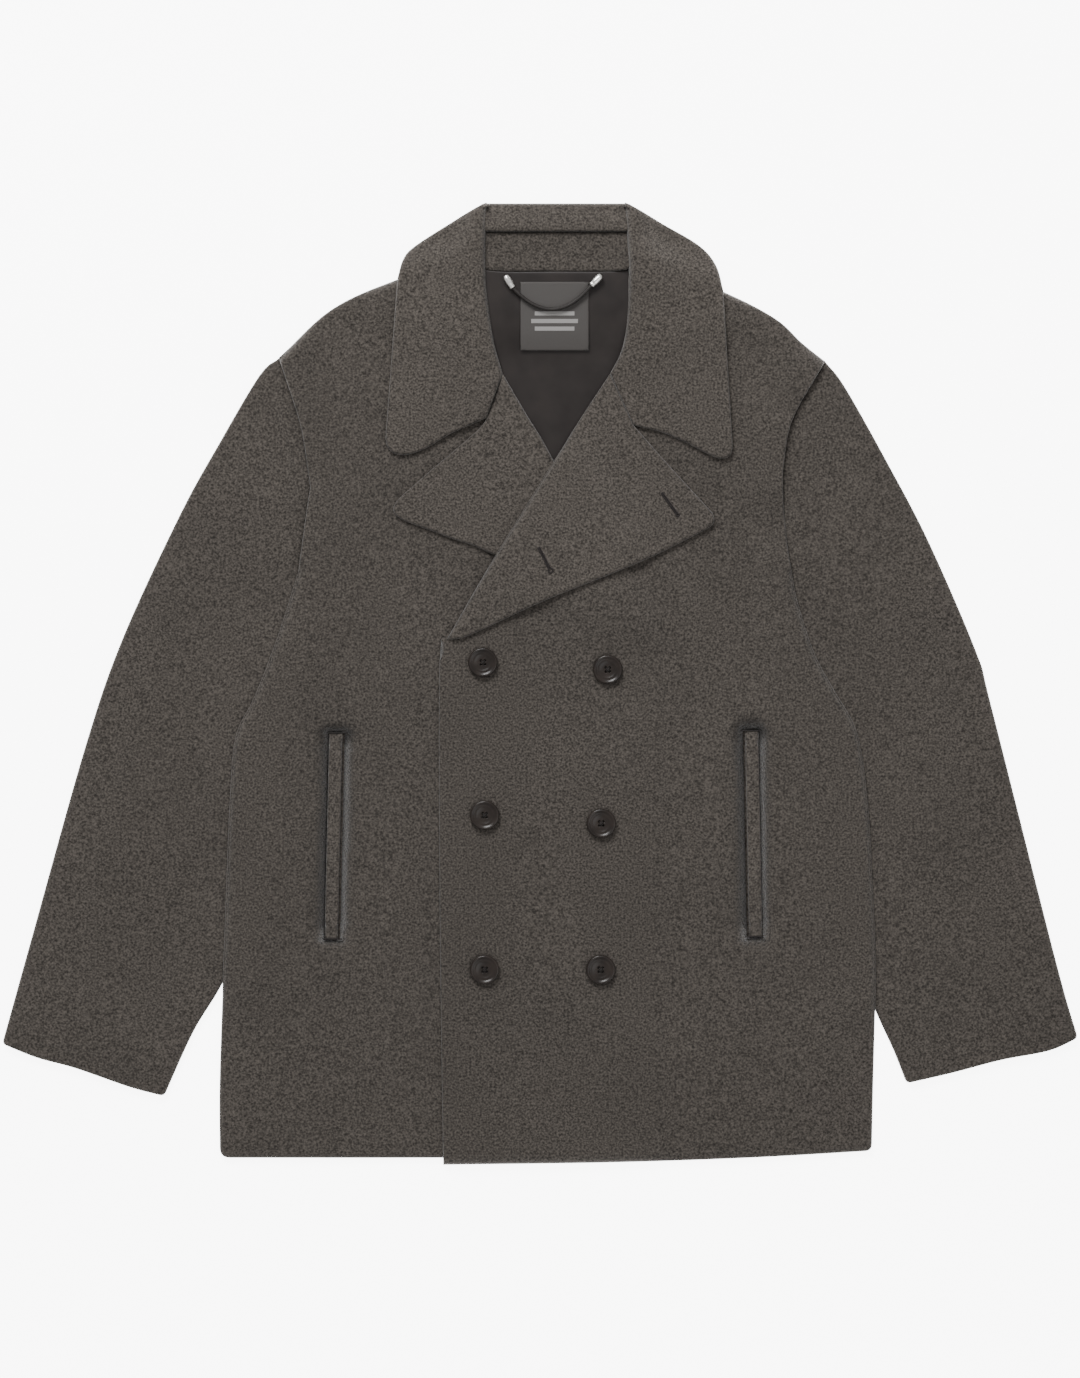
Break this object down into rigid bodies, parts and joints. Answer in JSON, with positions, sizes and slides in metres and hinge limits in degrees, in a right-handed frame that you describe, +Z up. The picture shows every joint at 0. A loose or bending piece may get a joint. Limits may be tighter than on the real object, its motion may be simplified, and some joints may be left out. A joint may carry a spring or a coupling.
{
  "type": "double-breasted pea coat laid flat",
  "caption": "Wool pea coat laid flat on its back, fronts lapped, wide collar and lapels turned out, sleeves spread, upright welt pockets.",
  "frame": {"origin": "middle of the coat's outline, on the surface it lies on", "axes": "+X across the coat to the wearer's left, +Y from hem to collar, +Z up out of the surface"},
  "size_m": [0.922, 0.8256, 0.0224],
  "materials": {
    "melton": "charcoal heather wool melton, milled and softly brushed",
    "lining": "near-black satin-backed lining",
    "label": "dark damask-woven patch with plain pale bands",
    "cord": "waxed black braided cord",
    "cap": "bright silver-coloured metal",
    "button": "dark brown-black horn-like resin, satin polish"
  },
  "bodies": {
    "root": {"back": "melton", "front_right": "melton", "front_left": "melton", "lapel_right": "melton", "lapel_left": "melton", "collar_leaf": "melton", "collar_stand": "melton", "sleeve_top_right": "melton", "sleeve_under_right": "melton", "sleeve_top_left": "melton", "sleeve_under_left": "melton", "pocket_welt_right": "melton", "pocket_welt_left": "melton", "neck_lining": "lining", "neck_label": "label", "hanger_loop": "cord", "loop_end_right": "cap", "loop_end_left": "cap", "button_1": "button", "button_2": "button", "button_3": "button", "button_4": "button", "button_5": "button", "button_6": "button"}
  },
  "joints": []
}
